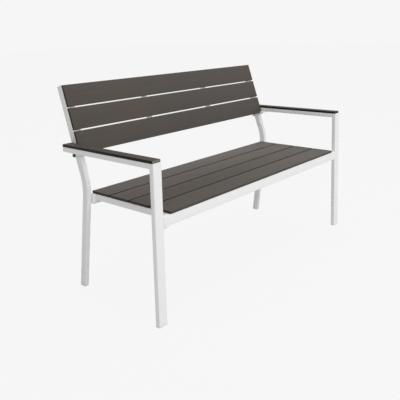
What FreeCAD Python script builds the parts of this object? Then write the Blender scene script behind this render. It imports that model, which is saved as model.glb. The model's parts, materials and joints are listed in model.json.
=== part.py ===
# Convertible picnic table bench: a slatted bench whose back folds over the arms to a half table.
# Axes: X along the length, the front faces -Y, Z up, the floor at z = 0. All sizes in millimetres.
import FreeCAD
import Part
import math
import os

V = FreeCAD.Vector

# Sizes of the whole bench
OVERALL_WIDTH = 1330.0
ARM_HEIGHT = 602.0
SEAT_HEIGHT = 408.0
ARM_REAR_Y = 505.0

# Steel tube
WALL = 1.5
TUBE_BEVEL = 2.0
LEG_WIDTH = 40.0
LEG_DEPTH = 20.0
REAR_TUBE_WIDTH = 20.0
REAR_TUBE_DEPTH = 30.0
RAIL_HEIGHT = 40.0
RAIL_DEPTH = 20.0
BEARER_WIDTH = 20.0
BEARER_HEIGHT = 25.0

# Slats
SLAT_THICK = 10.0
SLAT_EDGE = 2.0
SEAT_SLAT_GAP = 5.0
SEAT_SLAT_COUNT = 4
SEAT_END_GAP = 36.0
SEAT_OVERHANG = 1.0
ARM_BEHIND_SEAT = 71.0
BACK_SLAT_WIDTH = 89.0
BACK_SLAT_GAP = 6.0
BACK_SLAT_COUNT = 3
ARM_SLAT_SETBACK = 4.0

# Rear leg: two straight runs joined by a bend, leaning back by these angles
LOWER_LEAN = 7.64
UPPER_LEAN = 18.5
BEND_RADIUS = 210.0
REAR_FOOT_BEHIND_ARM = 0.0
LEG_TO_ARM_GAP = 2.0
RAIL_TO_ARM_GAP = 1.5

# Folding joint of the back: its axis is placed from the rear end and the underside of the arm tube,
# a small step behind the rear face of the back rail.
PIVOT_FROM_ARM_END = 17.0
PIVOT_UNDER_ARM = 20.0
PIVOT_BEHIND = 1.1
FOLD_ANGLE = 71.5
BUTT_DROP = 10.0
BLOCK_RISE = 23.0
BLOCK_PLUG = 25.0
LUG_RADIUS = 9.0
PIVOT_RADIUS = 4.0
RUNNING_GAP = 0.3
PLATE_THICK = 4.0
PLATE_TAIL_WIDTH = 24.0
PLATE_TAIL_LENGTH = 62.0
PLATE_HEAD_RADIUS = 29.5
PLATE_HUB_RADIUS = 10.0
LOCK_RISE = 15.0
STUD_RADIUS = 3.0
STUD_REACH = 13.0
SLOT_LAND = 5.0

# Horn of the hinge plate that carries the arm
HORN_DEPTH = 22.0
HORN_AHEAD_OF_PIVOT = 42.0
HORN_UNDER_ARM = 13.0
HORN_HEIGHT = 10.0
HORN_FLANGE_REACH = 30.0

# Knob of the lock
KNOB_RADIUS = 13.0
KNOB_THICK = 14.0
KNOB_DIP = 3.0
KNOB_LOBES = 5
KNOB_STEPS = 6

# Pivot bolt, its cap, washer and nut
BOLT_HEAD_RADIUS = 6.2
BOLT_HEAD_THICK = 3.5
PIVOT_CAP_BASE = 1.0
PIVOT_CAP_RADIUS = 7.5
PIVOT_CAP_THICK = 6.5
PIVOT_WASHER_RADIUS = 8.0
NUT_ACROSS_FLATS = 13.0
NUT_THICK = 6.5

# Small parts
GLIDE_THICK = 3.0
PLUG_DEPTH = 12.0
END_CAP_THICK = 2.0
FASTENER_SIDES = 6
SCREW_RADIUS = 2.2
SCREW_HEAD_RADIUS = 4.6
SCREW_HEAD_THICK = 2.8
SCREW_BITE = 7.0
BOLT_RADIUS = 3.2
BOLT_HEX_RADIUS = 5.7
BOLT_HEX_THICK = 4.0
BOLT_GRIP = 8.0
MID_SUPPORT_X = 205.0
STRAP_WIDTH = 30.0
STRAP_THICK = 4.0
STRAP_INSET = 3.0
RAIL_FLANGE_WIDTH = 18.0
RAIL_FLANGE_FOOT = 35.0
ARM_SCREW_INSET = 60.0
SIDE_RAIL_FROM_SLAT_END = 1.0
BRACKET_THICK = 2.0
BRACKET_FLANGE = 27.0
BRACKET_SETBACK = 2.0
END_PLATE_THICK = 4.0
END_PLATE_LAP = 9.0
END_PLATE_BOLT_GAP = 2.0
END_PLATE_MARGIN = 3.0

# Positions that follow from the sizes
HALF = OVERALL_WIDTH / 2.0
ARM_INNER_X = HALF - LEG_WIDTH
ARM_TUBE_TOP = ARM_HEIGHT - SLAT_THICK
ARM_TUBE_BOTTOM = ARM_TUBE_TOP - LEG_DEPTH
PIVOT_Y = ARM_REAR_Y - PIVOT_FROM_ARM_END
PIVOT_Z = ARM_TUBE_BOTTOM - PIVOT_UNDER_ARM
HORN_REAR_Y = PIVOT_Y - HORN_AHEAD_OF_PIVOT
HORN_FRONT_Y = HORN_REAR_Y - HORN_DEPTH
HORN_TOP_Z = ARM_TUBE_BOTTOM - HORN_UNDER_ARM
LEG_OUTER_X = ARM_INNER_X - LEG_TO_ARM_GAP
LEG_INNER_X = LEG_OUTER_X - REAR_TUBE_WIDTH
RAIL_OUTER_X = ARM_INNER_X - RAIL_TO_ARM_GAP
RAIL_INNER_X = RAIL_OUTER_X - REAR_TUBE_WIDTH
BACK_SLAT_HALF = LEG_OUTER_X
SEAT_UNDER_Z = SEAT_HEIGHT - SLAT_THICK
RAIL_UNDER_Z = SEAT_UNDER_Z - RAIL_HEIGHT
BEARER_UNDER_Z = SEAT_UNDER_Z - BEARER_HEIGHT
SEAT_REAR_Y = ARM_REAR_Y - ARM_BEHIND_SEAT
SEAT_SLAT_PITCH = (SEAT_REAR_Y + SEAT_OVERHANG + SEAT_SLAT_GAP) / SEAT_SLAT_COUNT
SEAT_SLAT_WIDTH = SEAT_SLAT_PITCH - SEAT_SLAT_GAP
REAR_FOOT_Y = ARM_REAR_Y + REAR_FOOT_BEHIND_ARM
REAR_RAIL_Y = SEAT_REAR_Y - RAIL_DEPTH
END_BOLT_Y = SEAT_REAR_Y + BOLT_HEX_RADIUS + END_PLATE_BOLT_GAP
SEAT_SLAT_HALF = ARM_INNER_X - SEAT_END_GAP
SIDE_RAIL_X = SEAT_SLAT_HALF - SIDE_RAIL_FROM_SLAT_END - BEARER_WIDTH
BACK_SLAT_PITCH = BACK_SLAT_WIDTH + BACK_SLAT_GAP
BACK_HEIGHT = BACK_SLAT_PITCH * BACK_SLAT_COUNT - BACK_SLAT_GAP

# The back and the upper leg are drawn in a turned frame with the pivot at its origin:
# y there is square to the back and points rearward, z runs up along the back.
RAIL_REAR_M = -PIVOT_BEHIND
RAIL_FRONT_M = RAIL_REAR_M - REAR_TUBE_DEPTH
RAIL_MID_M = (RAIL_REAR_M + RAIL_FRONT_M) / 2.0
SLAT_FRONT_M = RAIL_FRONT_M - SLAT_THICK
BORE_RADIUS = PIVOT_RADIUS + RUNNING_GAP
LOCK_RADIUS = math.hypot(RAIL_MID_M, LOCK_RISE)
LOCK_ANGLE = math.degrees(math.atan2(LOCK_RISE, RAIL_MID_M))
PLATE_INNER_X = LEG_INNER_X - PLATE_THICK


def box(x0, x1, y0, y1, z0, z1):
    """Block between two corners."""
    return Part.makeBox(x1 - x0, y1 - y0, z1 - z0, V(x0, y0, z0))


def rod(radius, start, end):
    """Round bar between two points."""
    way = V(*end) - V(*start)
    return Part.makeCylinder(radius, way.Length, V(*start), way)


def long_edges(shape, axis):
    """The four long edges of a block that run along the axis 0, 1 or 2."""
    edges = []
    for edge in shape.Edges:
        way = edge.Vertexes[1].Point - edge.Vertexes[0].Point
        if abs(abs(way[axis]) - way.Length) < 1e-6:
            edges.append(edge)
    return edges


def rounded(shape, axis):
    """Round the four long edges of a slat."""
    return shape.makeFillet(SLAT_EDGE, long_edges(shape, axis))


def bevelled(shape, axis):
    """Bevel the four long edges of a block, as on every tube and plug."""
    return shape.makeChamfer(TUBE_BEVEL, long_edges(shape, axis))


def tube(x0, x1, y0, y1, z0, z1, axis):
    """Hollow rectangular tube with bevelled edges, open at both ends along the axis."""
    outer = bevelled(box(x0, x1, y0, y1, z0, z1), axis)
    return outer.cut(core(x0, x1, y0, y1, z0, z1, axis))


def core(x0, x1, y0, y1, z0, z1, axis):
    """The space inside a rectangular tube of the given outer size."""
    low = [x0 + WALL, y0 + WALL, z0 + WALL]
    high = [x1 - WALL, y1 - WALL, z1 - WALL]
    low[axis] -= WALL
    high[axis] += WALL
    return box(low[0], high[0], low[1], high[1], low[2], high[2])


def side_prism(points, x0, x1):
    """Outline in the side view, drawn as (y, z) points, given a thickness along X."""
    wire = Part.makePolygon([V(x0, y, z) for y, z in points + points[:1]])
    return Part.Face(wire).extrude(V(x1 - x0, 0, 0))


def lean(shape):
    """Turn a shape from the frame of the back into place on the bench."""
    placed = shape.copy()
    placed.rotate(V(0, 0, 0), V(1, 0, 0), -UPPER_LEAN)
    placed.translate(V(0, PIVOT_Y, PIVOT_Z))
    return placed


def at_lean(m, u):
    """The (y, z) place on the bench of a point given in the frame of the back."""
    angle = math.radians(UPPER_LEAN)
    y = PIVOT_Y + m * math.cos(angle) + u * math.sin(angle)
    z = PIVOT_Z - m * math.sin(angle) + u * math.cos(angle)
    return y, z


def mirrored(shape):
    """The same piece for the other end of the bench."""
    return shape.mirror(V(0, 0, 0), V(1, 0, 0))


def both(name, shape, nodes):
    """Store a left piece and its mirror image as a right piece."""
    nodes[name + "_left"] = shape
    nodes[name + "_right"] = mirrored(shape)


def pair(shapes):
    """Left pieces and their mirror images as one group of separate solids."""
    return Part.Compound(shapes + [mirrored(shape) for shape in shapes])


def hex_rod(radius, start, way, length):
    """Six-sided bar from a point, the given way."""
    side = V(1, 0, 0) if abs(way.x) < 0.5 else V(0, 1, 0)
    other = way.cross(side)
    corners = []
    for index in range(FASTENER_SIDES + 1):
        angle = 2 * math.pi * index / FASTENER_SIDES
        corners.append(start + side * (radius * math.cos(angle)) + other * (radius * math.sin(angle)))
    return Part.Face(Part.makePolygon(corners)).extrude(way * length)


def screw(start, way, length):
    """Hex head screw whose head sits outside the start point and whose shank goes the given way."""
    way = V(*way)
    start = V(*start)
    shank = hex_rod(SCREW_RADIUS, start, way, length)
    return shank.fuse(hex_rod(SCREW_HEAD_RADIUS, start - way * SCREW_HEAD_THICK, way, SCREW_HEAD_THICK))


def bolt(start, way, length):
    """Hex head bolt whose head sits outside the start point and whose shank goes the given way."""
    way = V(*way)
    start = V(*start)
    shank = hex_rod(BOLT_RADIUS, start, way, length)
    return shank.fuse(hex_rod(BOLT_HEX_RADIUS, start - way * BOLT_HEX_THICK, way, BOLT_HEX_THICK))


# Front legs and arms

def front_leg():
    """Left front leg, cut at the top to the mitre with the arm tube."""
    leg = tube(-HALF, -ARM_INNER_X, 0, LEG_DEPTH, GLIDE_THICK, ARM_TUBE_TOP, 2)
    return leg.cut(above_mitre())


def above_mitre():
    """The half space above the mitre between front leg and arm tube."""
    corner = (0.0, ARM_TUBE_TOP)
    far = (2 * LEG_DEPTH, ARM_TUBE_TOP - 2 * LEG_DEPTH)
    points = [corner, far, (2 * LEG_DEPTH, ARM_TUBE_TOP + 1), (0.0, ARM_TUBE_TOP + 1)]
    return side_prism(points, -HALF - 1, -ARM_INNER_X + 1)


def below_mitre():
    """The half space below the mitre between front leg and arm tube."""
    corner = (-1.0, ARM_TUBE_TOP + 1)
    far = (LEG_DEPTH + 1, ARM_TUBE_BOTTOM - 1)
    return side_prism([corner, far, (-1.0, ARM_TUBE_BOTTOM - 1)], -HALF - 1, -ARM_INNER_X + 1)


def arm_tube():
    """Left arm tube, level, from the mitre to the cap at its rear end."""
    rear = ARM_REAR_Y - END_CAP_THICK
    arm = tube(-HALF, -ARM_INNER_X, 0, rear, ARM_TUBE_BOTTOM, ARM_TUBE_TOP, 1)
    return arm.cut(below_mitre())


def arm_cap():
    """Plug in the rear end of the left arm tube."""
    rear = ARM_REAR_Y
    flange = box(-HALF, -ARM_INNER_X, rear - END_CAP_THICK, rear, ARM_TUBE_BOTTOM, ARM_TUBE_TOP)
    flange = bevelled(flange, 1)
    plug = core(-HALF, -ARM_INNER_X, rear - PLUG_DEPTH, rear - END_CAP_THICK,
                ARM_TUBE_BOTTOM, ARM_TUBE_TOP, 1)
    return flange.fuse(plug)


def front_glide():
    """Foot of the left front leg, plugged in the tube."""
    foot = bevelled(box(-HALF, -ARM_INNER_X, 0, LEG_DEPTH, 0, GLIDE_THICK), 2)
    plug = core(-HALF, -ARM_INNER_X, 0, LEG_DEPTH, GLIDE_THICK, PLUG_DEPTH, 2)
    return foot.fuse(plug)


def arm_slat():
    """Left arm rest."""
    slat = box(-HALF, -ARM_INNER_X, ARM_SLAT_SETBACK, ARM_REAR_Y, ARM_TUBE_TOP, ARM_HEIGHT)
    return rounded(slat, 1)


# Rear legs

def leg_middle_y(z):
    """Middle of the lower run of the rear leg at a height."""
    lean_angle = math.radians(LOWER_LEAN)
    return REAR_FOOT_Y - REAR_TUBE_DEPTH / 2.0 / math.cos(lean_angle) - z * math.tan(lean_angle)


def leg_points(offset):
    """Side view of one line of the rear leg, at an offset behind its centre line: the two ends of the
    lower run, the middle of the bend, and the two ends of the upper run."""
    low_angle = math.radians(LOWER_LEAN)
    top_angle = math.radians(UPPER_LEAN)
    lower = V(0, -math.sin(low_angle), math.cos(low_angle))
    upper = V(0, math.sin(top_angle), math.cos(top_angle))
    below = V(0, leg_middle_y(-REAR_TUBE_DEPTH), -REAR_TUBE_DEPTH)
    top = V(0, *at_lean(RAIL_MID_M, 0))
    rise = top.y - leg_middle_y(0) - math.tan(top_angle) * top.z
    knee_z = -rise / (math.tan(top_angle) + math.tan(low_angle))
    knee = V(0, leg_middle_y(knee_z), knee_z)
    half_turn = (low_angle + top_angle) / 2.0
    run = BEND_RADIUS * math.tan(half_turn)
    to_centre = (upper - lower).normalize()
    centre = knee + to_centre * (BEND_RADIUS / math.cos(half_turn))
    behind_low = V(0, lower.z, -lower.y) * offset
    behind_top = V(0, upper.z, -upper.y) * offset
    return [below + behind_low, knee - lower * run + behind_low,
            centre - to_centre * (BEND_RADIUS - offset),
            knee + upper * run + behind_top, top + behind_top]


def leg_bar(inset):
    """Rear leg as a solid bar, smaller all round by the inset."""
    half = REAR_TUBE_DEPTH / 2.0 - inset
    front = leg_points(-half)
    rear = leg_points(half)
    edges = []
    for line in (front, rear):
        edges.append(Part.makeLine(line[0], line[1]))
        edges.append(Part.Arc(line[1], line[2], line[3]).toShape())
        edges.append(Part.makeLine(line[3], line[4]))
    edges.append(Part.makeLine(front[0], rear[0]))
    edges.append(Part.makeLine(front[4], rear[4]))
    outline = Part.Face(Part.Wire(Part.__sortEdges__(edges)))
    bar = outline.extrude(V(REAR_TUBE_WIDTH - 2 * inset, 0, 0))
    bar.translate(V(-LEG_OUTER_X + inset, 0, 0))
    return bar


def leg_outside():
    """Rear leg as a solid bar with its long edges bevelled."""
    bar = leg_bar(0)
    along = []
    for edge in bar.Edges:
        across_end = abs(edge.Length - REAR_TUBE_DEPTH) < 1e-6
        if edge.BoundBox.XLength < 1e-6 and not across_end:
            along.append(edge)
    return bar.makeChamfer(TUBE_BEVEL, along)


def between_levels(low, high):
    """Slab of space between two heights, around a rear leg."""
    return box(-HALF, 0, 0, 2 * ARM_REAR_Y, low, high)


def near_leg_top(low, high):
    """Slab of space between two heights along the upper run of the rear leg."""
    return lean(box(-HALF, 0, 3 * RAIL_FRONT_M, 2 * REAR_TUBE_DEPTH, low, high))


def rear_leg():
    """Left rear leg: one bent tube, cut level at the foot and square at the top."""
    leg = leg_outside().cut(leg_bar(WALL))
    leg = leg.cut(between_levels(-2 * REAR_TUBE_DEPTH, GLIDE_THICK))
    leg = leg.cut(near_leg_top(-BUTT_DROP - END_CAP_THICK, 0))
    leg = leg.cut(Part.Compound(plate_bolts()))
    return leg.cut(Part.Compound(rear_rail_bolts()))


def rear_glide():
    """Foot of the left rear leg, cut to the slant of the tube."""
    foot = leg_outside().common(between_levels(0, GLIDE_THICK))
    plug = leg_bar(WALL).common(between_levels(GLIDE_THICK, PLUG_DEPTH))
    return foot.fuse(plug)


def leg_plug():
    """Plug in the top of the left rear leg; the hinge block of the back rests on it."""
    joint = -BUTT_DROP - END_CAP_THICK
    top = leg_outside().common(near_leg_top(joint, -BUTT_DROP))
    plug = leg_bar(WALL).common(near_leg_top(joint - PLUG_DEPTH, joint))
    return top.fuse(plug)


# Seat frame

def front_rail():
    """Front rail of the seat, between the end brackets on the front legs."""
    reach = ARM_INNER_X - BRACKET_THICK
    rail = tube(-reach, reach, 0, RAIL_DEPTH, RAIL_UNDER_Z, SEAT_UNDER_Z, 0)
    return rail.cut(pair(bracket_bolts()))


def rail_bracket():
    """Angle that holds the left end of the front rail: a plate on the leg and a foot under it."""
    inner = ARM_INNER_X
    y0 = BRACKET_SETBACK
    y1 = RAIL_DEPTH - BRACKET_SETBACK
    low = RAIL_UNDER_Z - BRACKET_THICK
    plate = box(-inner, -inner + BRACKET_THICK, y0, y1, low, SEAT_UNDER_Z - BRACKET_SETBACK)
    foot = box(-inner, -inner + BRACKET_THICK + BRACKET_FLANGE, y0, y1, low, RAIL_UNDER_Z)
    return plate.fuse(foot).cut(Part.Compound(bracket_bolts()))


def bracket_bolts():
    """Bolt up through the foot of the left rail bracket."""
    x = -ARM_INNER_X + BRACKET_THICK + BRACKET_FLANGE / 2.0
    start = (x, RAIL_DEPTH / 2.0, RAIL_UNDER_Z - BRACKET_THICK)
    return [bolt(start, (0, 0, 1), BOLT_GRIP)]


def rear_rail():
    """Rear rail of the seat, between its two end plates."""
    reach = LEG_INNER_X - END_PLATE_THICK
    return tube(-reach, reach, REAR_RAIL_Y, SEAT_REAR_Y, RAIL_UNDER_Z, SEAT_UNDER_Z, 0)


def rear_rail_plate():
    """Plate on the left end of the rear rail, bolted to the inner face of the rear leg."""
    low = RAIL_UNDER_Z + END_PLATE_MARGIN
    high = SEAT_UNDER_Z - END_PLATE_MARGIN
    rear = END_BOLT_Y + END_PLATE_LAP
    plate = box(-LEG_INNER_X, -LEG_INNER_X + END_PLATE_THICK, REAR_RAIL_Y, rear, low, high)
    return plate.cut(Part.Compound(rear_rail_bolts()))


def rear_rail_bolts():
    """Two bolts through the left end plate into the rear leg."""
    x = -LEG_INNER_X + END_PLATE_THICK
    middle = (RAIL_UNDER_Z + SEAT_UNDER_Z) / 2.0
    bolts = []
    for z in (middle - RAIL_HEIGHT / 4.0, middle + RAIL_HEIGHT / 4.0):
        bolts.append(bolt((x, END_BOLT_Y, z), (-1, 0, 0), END_PLATE_THICK + BOLT_GRIP))
    return bolts


def bearer(x):
    """Channel under the seat slats, open below, from front rail to rear rail, its middle at x."""
    half = BEARER_WIDTH / 2.0
    outer = box(x - half, x + half, RAIL_DEPTH, REAR_RAIL_Y, BEARER_UNDER_Z, SEAT_UNDER_Z)
    top = [e for e in outer.Edges if e.Length > BEARER_WIDTH + BEARER_HEIGHT
           and abs(e.CenterOfMass.z - SEAT_UNDER_Z) < 1e-6]
    outer = outer.makeChamfer(TUBE_BEVEL, top)
    hollow = box(x - half + WALL, x + half - WALL, RAIL_DEPTH, REAR_RAIL_Y,
                 BEARER_UNDER_Z, SEAT_UNDER_Z - WALL)
    return outer.cut(hollow).cut(Part.Compound(seat_screws_at(x)))


def bearer_places():
    """Middles of the four bearers, from the left end to the right."""
    side = SIDE_RAIL_X + BEARER_WIDTH / 2.0
    return [-side, -MID_SUPPORT_X, MID_SUPPORT_X, side]


def seat_slat_front(index):
    """Front edge of a seat slat, counted from the front."""
    return index * SEAT_SLAT_PITCH - SEAT_OVERHANG


def seat_screws_at(x):
    """Screws through the web of one bearer from below, one into the middle of each seat slat."""
    screws = []
    for index in range(SEAT_SLAT_COUNT):
        y = seat_slat_front(index) + SEAT_SLAT_WIDTH / 2.0
        screws.append(screw((x, y, SEAT_UNDER_Z - WALL), (0, 0, 1), WALL + SCREW_BITE))
    return screws


def seat_screws():
    """All screws of the seat slats."""
    screws = []
    for x in bearer_places():
        screws += seat_screws_at(x)
    return Part.Compound(screws)


def seat_slat(index):
    """One seat slat."""
    y0 = seat_slat_front(index)
    slat = box(-SEAT_SLAT_HALF, SEAT_SLAT_HALF, y0, y0 + SEAT_SLAT_WIDTH, SEAT_UNDER_Z, SEAT_HEIGHT)
    slat = rounded(slat, 0)
    return slat.cut(seat_screws())


# Screws of the arm rests and of the horns that carry the arms

def arm_slat_screws():
    """Screws up through the left arm tube into the arm rest."""
    x = -(HALF + ARM_INNER_X) / 2.0
    length = LEG_DEPTH + SCREW_BITE
    places = (ARM_SCREW_INSET, HORN_FRONT_Y - ARM_SCREW_INSET)
    return [screw((x, y, ARM_TUBE_BOTTOM), (0, 0, 1), length) for y in places]


def horn_screws():
    """Screws up through the flange of the left horn into the arm tube."""
    y = (HORN_FRONT_Y + HORN_REAR_Y) / 2.0
    step = HORN_FLANGE_REACH / 4.0
    middle = -ARM_INNER_X - HORN_FLANGE_REACH / 2.0
    z = ARM_TUBE_BOTTOM - PLATE_THICK
    return [screw((x, y, z), (0, 0, 1), BOLT_GRIP) for x in (middle - step, middle + step)]


# Folding joint

def plate_bolts():
    """Two bolts through the tail of the left hinge plate into the rear leg."""
    bolts = []
    for share in (0.5, 0.85):
        y, z = at_lean(RAIL_MID_M, -PLATE_TAIL_LENGTH * share)
        bolts.append(bolt((-PLATE_INNER_X, y, z), (-1, 0, 0), PLATE_THICK + BOLT_GRIP))
    return bolts


def on_arc(radius, angle):
    """Point of the side view at a radius and an angle around the pivot, in the frame of the back."""
    return radius * math.cos(math.radians(angle)), radius * math.sin(math.radians(angle))


def sector(radius, first, last, x0, x1):
    """Slice of a round plate around the pivot, from one angle to the other."""
    points = [on_arc(radius, angle) for angle in (first, (first + last) / 2.0, last)]
    ends = [V(x0, y, z) for y, z in points]
    middle = V(x0, 0, 0)
    edges = [Part.makeLine(middle, ends[0]), Part.Arc(*ends).toShape(), Part.makeLine(ends[2], middle)]
    return Part.Face(Part.Wire(edges)).extrude(V(x1 - x0, 0, 0))


def lock_slot(x0, x1):
    """Curved slot around the pivot that the stud of the lock runs in."""
    half = STUD_RADIUS + RUNNING_GAP
    first = LOCK_ANGLE - FOLD_ANGLE
    band = sector(LOCK_RADIUS + half, first, LOCK_ANGLE, x0, x1)
    band = band.cut(rod(LOCK_RADIUS - half, (x0, 0, 0), (x1, 0, 0)))
    for angle in (first, LOCK_ANGLE):
        y, z = on_arc(LOCK_RADIUS, angle)
        band = band.fuse(rod(half, (x0, y, z), (x1, y, z)))
    return band


def hinge_plate():
    """Left hinge plate: tail on the leg, slotted head round the pivot, horn under the arm."""
    x0 = -LEG_INNER_X
    x1 = -PLATE_INNER_X
    spread = math.degrees((STUD_RADIUS + RUNNING_GAP + SLOT_LAND) / LOCK_RADIUS)
    half = PLATE_TAIL_WIDTH / 2.0
    tail = box(x0, x1, RAIL_MID_M - half, RAIL_MID_M + half, -PLATE_TAIL_LENGTH, LUG_RADIUS)
    tail = tail.common(rod(2 * PLATE_TAIL_LENGTH, (x0, 0, 0), (x1, 0, 0)))
    head = sector(PLATE_HEAD_RADIUS, LOCK_ANGLE - FOLD_ANGLE - spread, LOCK_ANGLE + spread / 2, x0, x1)
    hub = rod(PLATE_HUB_RADIUS, (x0, 0, 0), (x1, 0, 0))
    plate = tail.fuse([head, hub])
    plate = plate.cut(lock_slot(x0, x1))
    plate = plate.cut(rod(BORE_RADIUS, (x0, 0, 0), (x1, 0, 0)))
    plate = lean(plate)
    plate = plate.fuse([horn(x0, x1), horn_flange(x1)]).removeSplitter()
    return plate.cut(Part.Compound(plate_bolts() + horn_screws()))


def horn(x0, x1):
    """Upright part of the horn, from the tail of the plate to the underside of the arm."""
    root_y = HORN_REAR_Y + PLATE_TAIL_WIDTH
    low = HORN_TOP_Z - HORN_HEIGHT
    points = [(HORN_FRONT_Y, ARM_TUBE_BOTTOM), (HORN_REAR_Y, ARM_TUBE_BOTTOM),
              (HORN_REAR_Y, HORN_TOP_Z), (root_y, HORN_TOP_Z), (root_y, low),
              (HORN_REAR_Y + LUG_RADIUS, low), (HORN_FRONT_Y, ARM_TUBE_BOTTOM - HORN_HEIGHT / 2.0)]
    return side_prism(points, x0, x1)


def horn_flange(x1):
    """Flange of the horn, turned outward under the arm tube."""
    reach = -ARM_INNER_X - HORN_FLANGE_REACH
    flange = box(reach, x1, HORN_FRONT_Y, HORN_REAR_Y, ARM_TUBE_BOTTOM - PLATE_THICK, ARM_TUBE_BOTTOM)
    return flange


def hinge_block():
    """Left hinge block: closes the foot of the back rail and carries the lug of the pivot."""
    x0 = -RAIL_OUTER_X
    x1 = -RAIL_INNER_X
    body = box(x0, x1, RAIL_FRONT_M, RAIL_REAR_M, -BUTT_DROP, BLOCK_RISE)
    lug = rod(LUG_RADIUS, (x0, 0, 0), (x1, 0, 0))
    tip = math.hypot(RAIL_REAR_M, BLOCK_RISE)
    angle = math.degrees(math.atan2(BLOCK_RISE, RAIL_REAR_M))
    angle -= math.degrees(math.acos(LUG_RADIUS / tip))
    web = side_prism([(RAIL_REAR_M, BLOCK_RISE), (RAIL_REAR_M, 0), (0, 0), on_arc(LUG_RADIUS, angle)], x0, x1)
    plug = core(x0, x1, RAIL_FRONT_M, RAIL_REAR_M, BLOCK_RISE, BLOCK_RISE + BLOCK_PLUG, 2)
    block = body.fuse([lug, web, plug]).removeSplitter()
    block = block.cut(rod(BORE_RADIUS, (x0, 0, 0), (x1, 0, 0)))
    hole = STUD_RADIUS + RUNNING_GAP
    block = block.cut(rod(hole, (x1, RAIL_MID_M, LOCK_RISE), (x1 - STUD_REACH - 1, RAIL_MID_M, LOCK_RISE)))
    return lean(block)


def pivot_washer():
    """Washer round the pivot between the left hinge block and the hinge plate."""
    ring = rod(PIVOT_WASHER_RADIUS, (-RAIL_INNER_X, 0, 0), (-LEG_INNER_X, 0, 0))
    return lean(ring.cut(rod(PIVOT_RADIUS, (-RAIL_INNER_X, 0, 0), (-LEG_INNER_X, 0, 0))))


def pivot_bolt():
    """Left pivot bolt, put in from the outside, in the frame of the back."""
    seat = -RAIL_OUTER_X - PIVOT_CAP_BASE
    end = -PLATE_INNER_X + NUT_THICK + PIVOT_CAP_BASE
    head = hex_rod(BOLT_HEAD_RADIUS, V(seat, 0, 0), V(-1, 0, 0), BOLT_HEAD_THICK)
    return head.fuse(rod(PIVOT_RADIUS, (seat, 0, 0), (end, 0, 0)))


def pivot_cap():
    """Black cap over the head of the left pivot bolt; the bolt clamps its base on the hinge block."""
    face = -RAIL_OUTER_X - PIVOT_CAP_THICK
    cap = rod(PIVOT_CAP_RADIUS, (face, 0, 0), (-RAIL_OUTER_X, 0, 0))
    rim = [e for e in cap.Edges if abs(e.CenterOfMass.x - face) < 1e-6]
    cap = cap.makeChamfer(PIVOT_CAP_RADIUS - BOLT_HEAD_RADIUS, rim[:1])
    return lean(cap.cut(pivot_bolt()))


def pivot_nut():
    """Lock nut on the inner side of the left hinge plate."""
    x0 = -PLATE_INNER_X
    radius = NUT_ACROSS_FLATS / 2.0 / math.cos(math.radians(30))
    corners = [on_arc(radius, 60 * k) for k in range(6)]
    nut = side_prism(corners, x0, x0 + NUT_THICK)
    return lean(nut.cut(rod(PIVOT_RADIUS, (x0, 0, 0), (x0 + NUT_THICK, 0, 0))))


def lock_stud():
    """Stud of the left lock: from the knob through the slot into the hinge block."""
    x0 = -RAIL_INNER_X - STUD_REACH
    x1 = -PLATE_INNER_X + KNOB_THICK / 2.0
    return lean(rod(STUD_RADIUS, (x0, RAIL_MID_M, LOCK_RISE), (x1, RAIL_MID_M, LOCK_RISE)))


def lock_knob():
    """Lobed knob of the left lock, bearing on the hinge plate over the slot."""
    x0 = -PLATE_INNER_X
    outline = []
    for step in range(KNOB_LOBES * KNOB_STEPS):
        share = step / KNOB_STEPS
        radius = KNOB_RADIUS - KNOB_DIP * (1 - math.cos(2 * math.pi * share)) / 2.0
        y, z = on_arc(radius, 360.0 * share / KNOB_LOBES)
        outline.append((RAIL_MID_M + y, LOCK_RISE + z))
    return lean(side_prism(outline, x0, x0 + KNOB_THICK)).cut(lock_stud())


# Back

def back_slat_foot(index):
    """Lower edge of a back slat, counted from the bottom, measured up along the back."""
    return index * BACK_SLAT_PITCH


def back_screws_at(x, seat):
    """Screws in a line up the back at one x, one to each slat, their heads against the given plane."""
    length = seat - RAIL_FRONT_M + SCREW_BITE
    rows = [back_slat_foot(index) + BACK_SLAT_WIDTH / 2.0 for index in range(BACK_SLAT_COUNT)]
    return [screw((x, seat, u), (0, -1, 0), length) for u in rows]


def flange_screws():
    """Screws through the left rail flange into the slats, in the frame of the back."""
    return back_screws_at(RAIL_FLANGE_WIDTH / 2.0 - RAIL_INNER_X, RAIL_FRONT_M + STRAP_THICK)


def strap_screws():
    """Screws through the left middle strap into the slats, in the frame of the back."""
    return back_screws_at(-MID_SUPPORT_X, RAIL_FRONT_M + STRAP_THICK)


def back_screws():
    """All screws of the back slats, in the frame of the back."""
    return pair(flange_screws() + strap_screws())


def back_rail():
    """Left back rail: the same tube as the rear leg, in line with it."""
    return lean(tube(-RAIL_OUTER_X, -RAIL_INNER_X, RAIL_FRONT_M, RAIL_REAR_M, BLOCK_RISE, BACK_HEIGHT, 2))


def back_rail_cap():
    """Plug in the top of the left back rail."""
    top = BACK_HEIGHT + END_CAP_THICK
    flange = box(-RAIL_OUTER_X, -RAIL_INNER_X, RAIL_FRONT_M, RAIL_REAR_M, BACK_HEIGHT, top)
    plug = core(-RAIL_OUTER_X, -RAIL_INNER_X, RAIL_FRONT_M, RAIL_REAR_M,
                BACK_HEIGHT - PLUG_DEPTH, BACK_HEIGHT, 2)
    return lean(bevelled(flange, 2).fuse(plug))


def back_slat(index):
    """One back slat."""
    foot = back_slat_foot(index)
    slat = box(-BACK_SLAT_HALF, BACK_SLAT_HALF, SLAT_FRONT_M, RAIL_FRONT_M, foot, foot + BACK_SLAT_WIDTH)
    slat = rounded(slat, 0)
    return lean(slat.cut(back_screws()))


def flat_bar(x0, x1, foot, screws):
    """Flat bar on the rear of the back slats, from a foot up to just below the top, with its holes."""
    bar = box(x0, x1, RAIL_FRONT_M, RAIL_FRONT_M + STRAP_THICK, foot, BACK_HEIGHT - STRAP_INSET)
    return lean(bar.cut(Part.Compound(screws)))


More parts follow.
